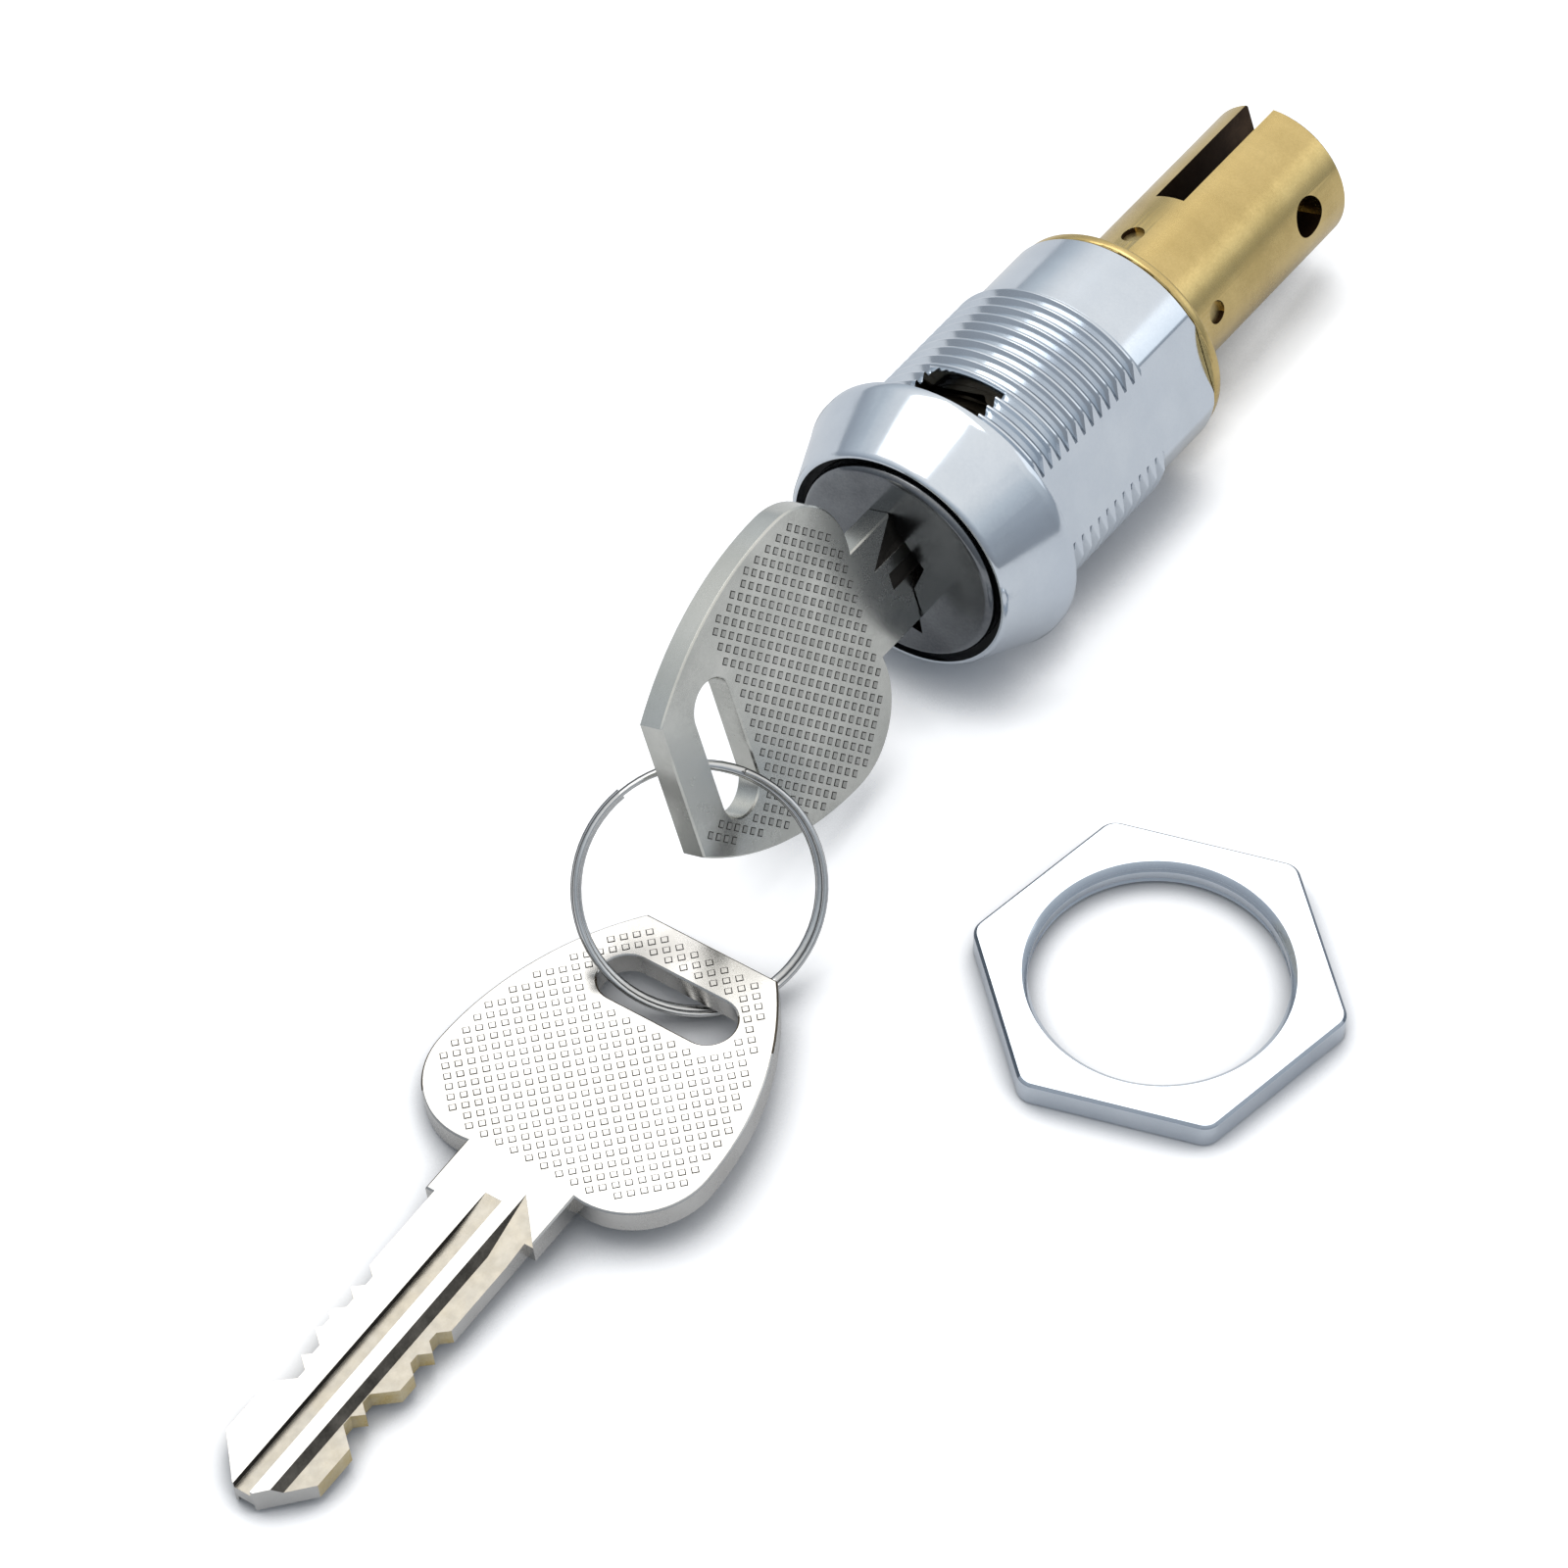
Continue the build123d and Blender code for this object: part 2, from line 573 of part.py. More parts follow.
with BuildPart() as key_ring:
    with BuildLine() as wire:
        # Three quarter turns in the lower layer, one that steps up, and three in the upper layer
        first_up = wire_quarters // 2
        for quarter in range(first_up):
            TangentArc(ring_point(quarter * 90, -1), ring_point(quarter * 90 + 90, -1),
                       tangent=ring_way(quarter * 90))
        # The step is two arcs that meet half way, with one direction there
        step_from = first_up * 90
        step_to = step_from + 90
        start = ring_point(step_from, -1)
        end = ring_point(step_to, 1)
        across = end - start
        way_in = ring_way(step_from)
        way_out = ring_way(step_to)
        ways = way_in + way_out
        spread = 2 - 2 * way_in.dot(way_out)
        reach = (sqrt(across.dot(ways) ** 2 + spread * across.dot(across)) - across.dot(ways)) / spread
        meet = (start + end + (way_in - way_out) * reach) / 2
        TangentArc(start, meet, tangent=way_in)
        TangentArc(meet, end, tangent=meet - start - way_in * reach)
        for quarter in range(first_up + 1, wire_quarters):
            TangentArc(ring_point(quarter * 90, 1), ring_point(quarter * 90 + 90, 1),
                       tangent=ring_way(quarter * 90))
    with BuildSketch(Plane(origin=ring_point(0, -1), z_dir=ring_way(0))):
        Circle(wire_d / 2)
    sweep(path=wire.wires()[0])

# The least gap from the wire to itself, measured between points at least half a turn apart
wire_line = wire.wires()[0]
points_per_quarter = 60
samples = points_per_quarter * wire_quarters
points = [wire_line.position_at(index / (samples - 1)) for index in range(samples)]
half_turn = 2 * points_per_quarter
least = min((points[index] - other).length
            for index in range(samples) for other in points[index + half_turn:])
print("ring: least gap to itself", round(least - wire_d, 3), "wire length", round(wire_line.length, 2))
wire_volume = pi * wire_d ** 2 / 4 * wire_line.length
print("ring: volume over section times length", round(key_ring.part.volume / wire_volume, 4))
if least - wire_d < ring_least_gap:
    print("ring: the gap is under", ring_least_gap)

pieces = {
    "lock_body": lock_body.part,
    "face_seal": face_seal.part,
    "plug": plug.part,
    "plug_cap": plug_cap.part,
    "retainer_wafer": retainer_wafer.part,
    "retainer_spring": retainer_spring.part,
    "thrust_washer": thrust_washer.part,
    "tail_sleeve": tail_sleeve.part,
    "tail_pins": tail_pins.part,
    "hex_nut": hex_nut.part,
    "key_inserted": key_inserted,
    "key_spare": key_spare,
    "key_ring": key_ring.part,
}
for number, part in enumerate(wafers):
    pieces[f"wafer_{number + 1}"] = part
for number, part in enumerate(springs):
    pieces[f"wafer_spring_{number + 1}"] = part
for name, part in pieces.items():
    part.label = name
    export_step(part, f"parts/{name}.step")
print("pieces", len(pieces))
print("tilt", round(degrees(tilt), 2), "floor", round(floor_z, 3))
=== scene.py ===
from math import asin, atan2, cos, degrees, pi, radians, sin, sqrt
import bmesh
import bpy
from mathutils import Matrix, Vector


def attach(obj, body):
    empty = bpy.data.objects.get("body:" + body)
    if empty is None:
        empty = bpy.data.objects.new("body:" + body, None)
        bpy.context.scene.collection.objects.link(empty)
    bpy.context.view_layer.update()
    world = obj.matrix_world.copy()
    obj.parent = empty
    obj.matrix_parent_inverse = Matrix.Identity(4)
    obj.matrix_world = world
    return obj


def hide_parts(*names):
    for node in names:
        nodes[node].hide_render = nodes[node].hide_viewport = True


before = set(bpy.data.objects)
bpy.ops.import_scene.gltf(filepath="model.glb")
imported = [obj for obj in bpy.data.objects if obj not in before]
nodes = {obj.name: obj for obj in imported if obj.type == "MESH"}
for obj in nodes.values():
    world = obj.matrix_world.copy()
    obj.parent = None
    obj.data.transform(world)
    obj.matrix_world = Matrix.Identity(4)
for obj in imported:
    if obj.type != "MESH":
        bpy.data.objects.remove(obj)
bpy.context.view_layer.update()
scene = bpy.context.scene
mm = 0.001  # every size below is in millimetres
print("frame loaded,", len(nodes), "nodes")

# Where the lock, the two keys and the ring lie, in millimetres and degrees
lie = {
    "tilt": 5.769,  # the lock's axis drops towards the tail
    "roll": 22.5,  # the inserted key leans this far from upright
    "shoulder": 7.45,  # the inserted key's shoulder, along the lock's axis
    "spareShoulder": (5.95, -72.416, -10.569),
    "spareTurn": -0.51,
    "sparePitch": 1.419,
    "spareRoll": 6.2,
    "ringMiddle": (3.4, -39.366, -5.187),
    "ringHeading": -42.3,
    "ringLean": 43.1,
    "floor": -12.849,
}


def placed(origin, xAxis, zAxis):  # a matrix in metres from a place and two directions
    zAxis = Vector(zAxis).normalized()
    xAxis = Vector(xAxis).normalized()
    yAxis = zAxis.cross(xAxis)
    turn = Matrix((xAxis, yAxis, zAxis)).transposed().to_4x4()
    return Matrix.Translation(Vector(origin) * mm) @ turn @ Matrix.Scale(mm, 4)


tilt, roll = radians(lie["tilt"]), radians(lie["roll"])
lockOut = Vector((0, -cos(tilt), sin(tilt)))
lockRight = Vector((cos(roll), sin(roll) * sin(tilt), sin(roll) * cos(tilt)))
lockPlace = placed((0, 0, 0), lockRight, lockOut)
insertedPlace = placed(lockOut * lie["shoulder"], lockOut, lockRight)
lift, pitch = radians(lie["spareRoll"]), radians(lie["sparePitch"])
spareTurn = Matrix.Rotation(radians(lie["spareTurn"]), 3, "Z")
spareAlong = spareTurn @ Vector((0, cos(pitch), sin(pitch)))
spareRight = spareTurn @ Vector((cos(lift), 0, sin(lift)))
sparePlace = placed(lie["spareShoulder"], spareAlong, spareRight.cross(spareAlong))
heading, lean = radians(lie["ringHeading"]), radians(lie["ringLean"])
ringNormal = Vector((cos(heading) * sin(lean), sin(heading) * sin(lean), cos(lean)))
ringPlace = placed(lie["ringMiddle"], Vector((0, 0, 1)).cross(ringNormal), ringNormal)


# Node groups that several finishes share
def newGroup(name, inputs, outputs):
    group = bpy.data.node_groups.new(name, "ShaderNodeTree")
    for label, kind, value in inputs:
        socket = group.interface.new_socket(label, in_out="INPUT", socket_type=kind)
        if value is not None:
            socket.default_value = value
    for label, kind in outputs:
        group.interface.new_socket(label, in_out="OUTPUT", socket_type=kind)
    return group, group.nodes.new("NodeGroupInput"), group.nodes.new("NodeGroupOutput")


def addNode(tree, kind, **values):  # each value goes to the input of that name, or else to the node
    node = tree.nodes.new(kind)
    for key, value in values.items():
        if key in node.inputs:
            node.inputs[key].default_value = value
        else:
            setattr(node, key, value)
    return node


def mapBand(tree, band, lowest=0.0):  # spreads a band of values over lowest to 1
    node = addNode(tree, "ShaderNodeMapRange", **{"From Min": band[0], "From Max": band[1]})
    node.inputs["To Min"].default_value = lowest
    return node


# Clouds left by fingers, and specks: the noise behind them, its scales per metre
handling = {
    "cloudDetail": 5.0,
    "cloudRoughness": 0.6,
    "speckScale": 4200.0,
    "speckDetail": 2.0,
    "speckShare": 0.25,
    "roughBand": (0.42, 0.85),  # the noise that gives the lowest and the highest roughness
    "maskBand": (0.45, 0.8),
}


def handledFinish():  # cloudy finger marks and fine specks, as on polished metal that was held
    group, into, out = newGroup(
        "handledFinish",
        [
            ("Vector", "NodeSocketVector", None),
            ("Cloud Size", "NodeSocketFloat", 6.0),
            ("Low", "NodeSocketFloat", 0.1),
            ("High", "NodeSocketFloat", 0.3),
        ],
        [("Roughness", "NodeSocketFloat"), ("Mask", "NodeSocketFloat")],
    )
    links = group.links
    size = addNode(group, "ShaderNodeMath", operation="DIVIDE")
    size.inputs[0].default_value = 1 / mm
    cloud = addNode(
        group,
        "ShaderNodeTexNoise",
        Detail=handling["cloudDetail"],
        Roughness=handling["cloudRoughness"],
    )
    speck = addNode(
        group,
        "ShaderNodeTexNoise",
        Scale=handling["speckScale"],
        Detail=handling["speckDetail"],
    )
    blend = addNode(group, "ShaderNodeMath", operation="MULTIPLY_ADD")
    blend.inputs[1].default_value = handling["speckShare"]
    spread = mapBand(group, handling["roughBand"])
    mask = mapBand(group, handling["maskBand"])
    links.new(into.outputs["Cloud Size"], size.inputs[1])
    links.new(into.outputs["Vector"], cloud.inputs["Vector"])
    links.new(into.outputs["Vector"], speck.inputs["Vector"])
    links.new(size.outputs[0], cloud.inputs["Scale"])
    links.new(speck.outputs["Fac"], blend.inputs[0])
    links.new(cloud.outputs["Fac"], blend.inputs[2])
    links.new(blend.outputs[0], spread.inputs["Value"])
    links.new(into.outputs["Low"], spread.inputs["To Min"])
    links.new(into.outputs["High"], spread.inputs["To Max"])
    links.new(blend.outputs[0], mask.inputs["Value"])
    links.new(spread.outputs[0], out.inputs["Roughness"])
    links.new(mask.outputs[0], out.inputs["Mask"])
    return group


# Marks left by tools: fine ones that give the height, and wide ones that give the shade
tooling = {
    "fineDetail": 4.0,
    "fineRoughness": 0.7,
    "wideScale": 0.12,  # one wide band to about eight fine marks
    "wideDetail": 2.0,
    "shadeBand": (0.35, 0.65),  # the noise that gives the darkest and the lightest bands
    "darkest": 0.7,
}


def toolMarks():  # fine lines square to one direction, from turning, rolling or brushing
    group, into, out = newGroup(
        "toolMarks",
        [
            ("Vector", "NodeSocketVector", None),
            ("Along", "NodeSocketFloat", 9000.0),
            ("Across", "NodeSocketFloat", 300.0),
        ],
        [("Height", "NodeSocketFloat"), ("Shade", "NodeSocketFloat")],
    )
    links = group.links
    split = addNode(group, "ShaderNodeSeparateXYZ")
    joined = addNode(group, "ShaderNodeCombineXYZ")
    scaled = {}
    for axis, source in (("X", "Across"), ("Y", "Across"), ("Z", "Along")):
        scaled[axis] = addNode(group, "ShaderNodeMath", operation="MULTIPLY")
        links.new(split.outputs[axis], scaled[axis].inputs[0])
        links.new(into.outputs[source], scaled[axis].inputs[1])
        links.new(scaled[axis].outputs[0], joined.inputs[axis])
    fine = addNode(
        group,
        "ShaderNodeTexNoise",
        Scale=1.0,
        Detail=tooling["fineDetail"],
        Roughness=tooling["fineRoughness"],
    )
    wide = addNode(
        group,
        "ShaderNodeTexNoise",
        Scale=tooling["wideScale"],
        Detail=tooling["wideDetail"],
    )
    links.new(into.outputs["Vector"], split.inputs["Vector"])
    links.new(joined.outputs[0], fine.inputs["Vector"])
    links.new(joined.outputs[0], wide.inputs["Vector"])
    links.new(fine.outputs["Fac"], out.inputs["Height"])
    links.new(wide.outputs["Fac"], out.inputs["Shade"])
    return group


handled, marks = handledFinish(), toolMarks()


def metal(name, finish):  # one finish, clouded by handling and marked by tools
    material = bpy.data.materials.new(name)
    material.use_nodes = True
    tree = material.node_tree
    links = tree.links
    shader = tree.nodes["Principled BSDF"]
    shader.inputs["Metallic"].default_value = finish.get("metallic", 1.0)
    shader.inputs["IOR"].default_value = finish.get("ior", 1.5)
    coords = addNode(tree, "ShaderNodeTexCoord")
    turned = addNode(tree, "ShaderNodeMapping")
    turnBack = finish["along"].to_3x3().normalized().inverted()
    turned.inputs["Rotation"].default_value = turnBack.to_euler("XYZ")
    links.new(coords.outputs["Object"], turned.inputs["Vector"])
    held = addNode(tree, "ShaderNodeGroup", node_tree=handled)
    held.inputs["Cloud Size"].default_value = finish["cloud"]
    held.inputs["Low"].default_value, held.inputs["High"].default_value = finish["rough"]
    lines = addNode(tree, "ShaderNodeGroup", node_tree=marks)
    lines.inputs["Along"].default_value, lines.inputs["Across"].default_value = finish["lines"]
    tint = addNode(tree, "ShaderNodeMix", data_type="RGBA")
    tint.inputs["A"].default_value = (*finish["colour"], 1)
    tint.inputs["B"].default_value = (*finish["cloudColour"], 1)
    shade = addNode(tree, "ShaderNodeMix", data_type="RGBA", blend_type="MULTIPLY")
    shade.inputs["Factor"].default_value = finish["lineShade"]
    ramp = mapBand(tree, tooling["shadeBand"], tooling["darkest"])
    bump = addNode(tree, "ShaderNodeBump", Strength=1.0, Distance=finish["lineDepth"] * mm)
    links.new(turned.outputs[0], held.inputs["Vector"])
    links.new(turned.outputs[0], lines.inputs["Vector"])
    links.new(held.outputs["Mask"], tint.inputs["Factor"])
    links.new(lines.outputs["Shade"], ramp.inputs["Value"])
    links.new(tint.outputs["Result"], shade.inputs["A"])
    links.new(ramp.outputs[0], shade.inputs["B"])
    links.new(shade.outputs["Result"], shader.inputs["Base Color"])
    links.new(held.outputs["Roughness"], shader.inputs["Roughness"])
    links.new(lines.outputs["Height"], bump.inputs["Height"])
    links.new(bump.outputs["Normal"], shader.inputs["Normal"])
    return material


# The finishes: the size of the clouds in millimetres, the lowest and highest roughness, how many
# tool marks there are per metre along and across, how much they shade the colour, their depth in
# millimetres, and the place whose Z axis they run square to
finishes = {
    "bodyChrome": {
        "colour": (0.71, 0.755, 0.80), "cloudColour": (0.63, 0.68, 0.74), "cloud": 9.0,
        "rough": (0.08, 0.18), "lines": (2500, 250), "lineShade": 0.12, "lineDepth": 0.001,
        "along": lockPlace,
    },
    "capSteel": {
        "colour": (0.235, 0.245, 0.255), "cloudColour": (0.12, 0.125, 0.135), "cloud": 9.0,
        "rough": (0.12, 0.24), "lines": (3000, 300), "lineShade": 0.2, "lineDepth": 0.001,
        "along": lockPlace,
    },
    # The plug and its wafers are painted near black, a painted shade for the keyway and the window
    # that show them
    "plugPaintedShade": {
        "colour": (0.035, 0.028, 0.02), "cloudColour": (0.06, 0.05, 0.035), "cloud": 4.0,
        "rough": (0.4, 0.6), "lines": (6000, 300), "lineShade": 0.3, "lineDepth": 0.003,
        "along": lockPlace,
    },
    "tailBrass": {
        "colour": (0.70, 0.53, 0.23), "cloudColour": (0.54, 0.40, 0.16), "cloud": 8.0,
        "rough": (0.18, 0.34), "lines": (4000, 80), "lineShade": 0.2, "lineDepth": 0.003,
        "along": lockPlace,
    },
    # Painted shade for the tail's bore, slot, cross hole and rounded edges
    "brassPaintedShade": {
        "colour": (0.07, 0.04, 0.02), "cloudColour": (0.04, 0.022, 0.012), "cloud": 3.0,
        "rough": (0.4, 0.6), "lines": (5000, 300), "lineShade": 0.3, "lineDepth": 0.003,
        "along": lockPlace,
    },
    "nutZinc": {
        "colour": (0.68, 0.72, 0.77), "cloudColour": (0.60, 0.65, 0.71), "cloud": 6.0,
        "rough": (0.10, 0.24), "lines": (1500, 1500), "lineShade": 0.12, "lineDepth": 0.002,
        "along": Matrix.Identity(4),
    },
    # Painted shade: the lock's thread grooves, the nut's thread and lines along the nut's edges
    "paintedShade": {
        "colour": (0.24, 0.28, 0.33), "cloudColour": (0.16, 0.19, 0.23), "cloud": 3.0,
        "rough": (0.2, 0.4), "lines": (6000, 600), "lineShade": 0.3, "lineDepth": 0.003,
        "along": Matrix.Identity(4),
    },
    "keyNickel": {
        "colour": (0.65, 0.645, 0.60), "cloudColour": (0.54, 0.54, 0.50), "cloud": 5.0,
        "rough": (0.18, 0.34), "lines": (4000, 400), "lineShade": 0.15, "lineDepth": 0.002,
        "along": insertedPlace,
    },
    "gridNickel": {
        "colour": (0.40, 0.40, 0.37), "cloudColour": (0.56, 0.55, 0.52), "cloud": 8.0,
        "rough": (0.26, 0.40), "lines": (4000, 400), "lineShade": 0.3, "lineDepth": 0.002,
        "along": insertedPlace,
    },
    "spareNickel": {
        "colour": (0.60, 0.59, 0.57), "cloudColour": (0.54, 0.525, 0.50), "cloud": 5.0,
        "rough": (0.18, 0.32), "lines": (4000, 400), "lineShade": 0.1, "lineDepth": 0.002,
        "along": sparePlace,
    },
    # Painted shade: near black for the walls of the squares and of the grooves, and inside the
    # keyway
    "wallPaintedShade": {
        "metallic": 0.0, "ior": 1.2,
        "colour": (0.015, 0.014, 0.012), "cloudColour": (0.05, 0.045, 0.04), "cloud": 7.0,
        "rough": (0.6, 0.8), "lines": (5000, 300), "lineShade": 0.3, "lineDepth": 0.003,
        "along": sparePlace,
    },
    # Painted shade for the spare key's ledge walls
    "ledgePaintedShade": {
        "metallic": 0.0, "ior": 1.2,
        "colour": (0.05, 0.046, 0.04), "cloudColour": (0.13, 0.12, 0.105), "cloud": 3.0,
        "rough": (0.6, 0.8), "lines": (700, 9000), "lineShade": 0.3, "lineDepth": 0.003,
        "along": sparePlace,
    },
    # Painted shade: a thin dark line on the spare key's rounded edges that face one side
    "edgePaintedShade": {
        "metallic": 0.0, "ior": 1.2,
        "colour": (0.025, 0.02, 0.015), "cloudColour": (0.11, 0.09, 0.065), "cloud": 4.0,
        "rough": (0.6, 0.8), "lines": (5000, 300), "lineShade": 0.3, "lineDepth": 0.003,
        "along": sparePlace,
    },
    "milledNickel": {
        "colour": (0.40, 0.365, 0.30), "cloudColour": (0.50, 0.47, 0.41), "cloud": 2.5,
        "rough": (0.35, 0.5), "lines": (700, 9000), "lineShade": 0.45, "lineDepth": 0.006,
        "along": sparePlace,
    },
    "cutBrass": {
        "colour": (0.55, 0.43, 0.20), "cloudColour": (0.66, 0.58, 0.40), "cloud": 2.0,
        "rough": (0.25, 0.4), "lines": (9000, 900), "lineShade": 0.3, "lineDepth": 0.004,
        "along": sparePlace,
    },
    "ringSteel": {
        "colour": (0.70, 0.70, 0.69), "cloudColour": (0.54, 0.54, 0.53), "cloud": 5.0,
        "rough": (0.04, 0.10), "lines": (3000, 300), "lineShade": 0.2, "lineDepth": 0.001,
        "along": ringPlace,
    },
    # Painted shade and reflection for the ring wire's steep sides
    "ringShade": {
        "colour": (0.05, 0.05, 0.05), "cloudColour": (0.09, 0.085, 0.08), "cloud": 3.0,
        "rough": (0.1, 0.2), "lines": (6000, 600), "lineShade": 0.3, "lineDepth": 0.002,
        "along": ringPlace,
    },
    "springWire": {
        "colour": (0.50, 0.50, 0.50), "cloudColour": (0.38, 0.37, 0.36), "cloud": 2.0,
        "rough": (0.25, 0.4), "lines": (9000, 900), "lineShade": 0.3, "lineDepth": 0.002,
        "along": lockPlace,
    },
    "pinBrass": {
        "colour": (0.62, 0.48, 0.22), "cloudColour": (0.42, 0.32, 0.15), "cloud": 1.5,
        "rough": (0.25, 0.45), "lines": (6000, 900), "lineShade": 0.3, "lineDepth": 0.003,
        "along": lockPlace,
    },
    # The face seal is near black and also serves as painted shade in the gap between cap and bezel
    "sealGapShade": {
        "metallic": 0.0,
        "colour": (0.012, 0.012, 0.013), "cloudColour": (0.03, 0.03, 0.03), "cloud": 2.0,
        "rough": (0.6, 0.8), "lines": (4000, 2000), "lineShade": 0.3, "lineDepth": 0.01,
        "along": lockPlace,
    },
}
looks = {name: metal(name, finish) for name, finish in finishes.items()}
print("finishes made")


def sharpEdges(bm, limit):
    closed = [edge for edge in bm.edges if len(edge.link_faces) == 2]
    return [edge for edge in closed if edge.calc_face_angle(0) > limit]


def roundEdges(bm, edges, size, steps):
    bmesh.ops.bevel(
        bm,
        geom=edges,
        offset=size,
        segments=steps,
        profile=0.5,
        affect="EDGES",
        clamp_overlap=True,
        material=-1,
    )


def newPiece(bm, pieceName, materials):  # an object at the origin, with its place in its mesh
    mesh = bpy.data.meshes.new(pieceName)
    bm.to_mesh(mesh)
    bm.free()
    for material in materials:
        mesh.materials.append(material)
    piece = bpy.data.objects.new(pieceName, mesh)
    scene.collection.objects.link(piece)
    return piece


def finished(bm, pieceName, body, look, nodeName):
    for face in bm.faces:
        face.smooth = True
    piece = newPiece(bm, pieceName, [looks[look]])
    even = piece.modifiers.new("evenShading", "WEIGHTED_NORMAL")
    even.keep_sharp = True
    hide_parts(nodeName)
    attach(piece, body)
    return piece


mergeReach = 0.0005  # corners of a CAD node that lie this close are one


# A copy of a CAD node with its sharp edges rounded
def softened(nodeName, pieceName, body, look, edges, shape=None):
    bm = bmesh.new()
    bm.from_mesh(nodes[nodeName].data)
    bmesh.ops.remove_doubles(bm, verts=bm.verts, dist=mergeReach * mm)
    flat = radians(edges["flat"])
    bmesh.ops.dissolve_limit(bm, angle_limit=flat, verts=bm.verts, edges=bm.edges)
    if shape:
        shape(bm)
        bm.normal_update()
    sharp = sharpEdges(bm, radians(edges["sharp"]))
    roundEdges(bm, sharp, edges["round"] * mm, edges["steps"])
    return finished(bm, pieceName, body, look, nodeName)


# Gives faces other finishes, by where they are and which way they face
def painted(piece, place, choose, extras):
    for extra in extras:
        piece.data.materials.append(looks[extra])
    inverse = place.inverted()
    turnBack = inverse.to_3x3()
    for polygon in piece.data.polygons:
        facing = (turnBack @ polygon.normal).normalized()
        polygon.material_index = choose(inverse @ polygon.center, facing)


# Finishes of the CAD nodes that stay as they are
nodeLooks = {
    "lock_body": "bodyChrome",
    "face_seal": "sealGapShade",
    "plug": "plugPaintedShade",
    "plug_cap": "capSteel",
    "retainer_wafer": "plugPaintedShade",
    "retainer_spring": "springWire",
    "thrust_washer": "tailBrass",
    "tail_sleeve": "tailBrass",
    "tail_pins": "pinBrass",
    "hex_nut": "nutZinc",
    "key_inserted": "keyNickel",
    "key_spare": "spareNickel",
    "key_ring": "ringSteel",
}
for nodeName, node in nodes.items():
    inside = "springWire" if "spring" in nodeName else "plugPaintedShade"  # the wafers and their springs
    node.data.materials.clear()
    node.data.materials.append(looks[nodeLooks.get(nodeName, inside)])

# Lock body
bodyEdges = {"flat": 0.5, "sharp": 32, "round": 0.09, "steps": 2}
thread = {
    "start": -0.4,
    "end": -17.0,
    "root": 10.32,
    "band": 0.12,  # faces this near to the root are the grooves' floors
    "steepest": 0.6,
}
lockShell = softened("lock_body", "lockShell", "lock", "bodyChrome", bodyEdges)


def inThread(spot, facing):  # painted shade: the floors of the grooves between the crests are painted darker
    outward = Vector((spot.x, spot.y))
    atRoot = abs(outward.length - thread["root"]) < thread["band"]
    onLength = thread["end"] < spot.z < thread["start"]
    return int(atRoot and onLength and abs(facing.z) < thread["steepest"])


painted(lockShell, lockPlace, inThread, ["paintedShade"])

# Fixing nut
nutEdges = {"flat": 0.5, "sharp": 25, "round": 0.22, "steps": 3}
nut = {
    "bore": 21.1,
    "threadDepth": 0.6,
    "crestBand": 0.03,  # the crests' tops get no painted shade
    "flankFacing": (-0.9, -0.1),  # the thread's flanks that face down
    "edgeFacing": (0.5, 0.85),
    "unshadedSide": Vector((0.574, -0.819, 0)),  # the edges that face this way get no painted dark line
    "unshadedFrom": 0.3,
}
nutCorners = [Vector(corner) / mm for corner in nodes["hex_nut"].bound_box]
nutPlace = placed(sum(nutCorners, Vector()) / 8, (1, 0, 0), (0, 0, 1))
fixingNut = softened("hex_nut", "fixingNut", "nut", "nutZinc", nutEdges)


def onNut(spot, facing):  # painted shade in the thread, and painted dark lines along the edges for shade and dark reflections
    beyondBore = Vector((spot.x, spot.y)).length - nut["bore"] / 2
    if beyondBore < nut["threadDepth"]:
        steep, flat = nut["flankFacing"]
        return int(beyondBore > nut["crestBand"] and steep < facing.z < flat)
    upright, flat = nut["edgeFacing"]
    onUnshadedSide = facing.dot(nut["unshadedSide"]) >= nut["unshadedFrom"]
    return int(upright < abs(facing.z) < flat and not onUnshadedSide)


painted(fixingNut, nutPlace, onNut, ["paintedShade"])

# Tail and its thrust washer
tailEdges = {"flat": 0.5, "sharp": 32, "round": 0.12, "steps": 2}
tail = {"width": 13.5, "skin": 0.25, "square": 0.9}  # faces within the skin, facing out, get no painted shade
tailTube = softened("tail_sleeve", "tailTube", "plug", "tailBrass", tailEdges)


def insideTail(spot, facing):  # painted shade: bore, slot and cross hole are painted dark, and so are the rounded edges
    outward = Vector((spot.x, spot.y, 0))
    inner = outward.length < tail["width"] / 2 - tail["skin"]
    turnedAway = facing.dot(outward.normalized()) < tail["square"]
    return int(abs(facing.z) < tail["square"] and (inner or turnedAway))


painted(tailTube, lockPlace, insideTail, ["brassPaintedShade"])
washerEdges = {"flat": 0.5, "sharp": 32, "round": 0.12, "steps": 2}
softened("thrust_washer", "washerDisc", "plug", "tailBrass", washerEdges)
print("lock, nut, tail and washer rounded")

# The two keys: rounded edges, and a field of small raised squares on both faces of the bow
bow = {
    "length": 31.0,
    "width": 26.7,
    "endWidth": 12.9,
    "lobeRadius": 7.0,
    "neckWidth": 10.6,
    "neckLength": 5.4,
    "thick": 2.3,
    "slotReach": 24.9,
    "slotLength": 12.9,
    "slotWidth": 4.6,
    "margin": 1.15,  # smooth rim round the squares
    "flankShare": 0.75,  # along the flanks the rim is this share of it
    "neckOverlap": 0.5,  # the squares start this far before the neck's end
    "slotMargin": 0.7,
    "pitch": 1.05,
    "square": 0.78,
    "top": 0.46,
    "rise": 0.04,
    "turn": 45.0,
    "topFacing": 0.99,
}
worn = {"from": 22.6, "to": 5.0}  # where the inserted key's squares are worn off, along and across
keyEdges = {"flat": 0.5, "sharp": 32, "round": 0.19, "steps": 2}


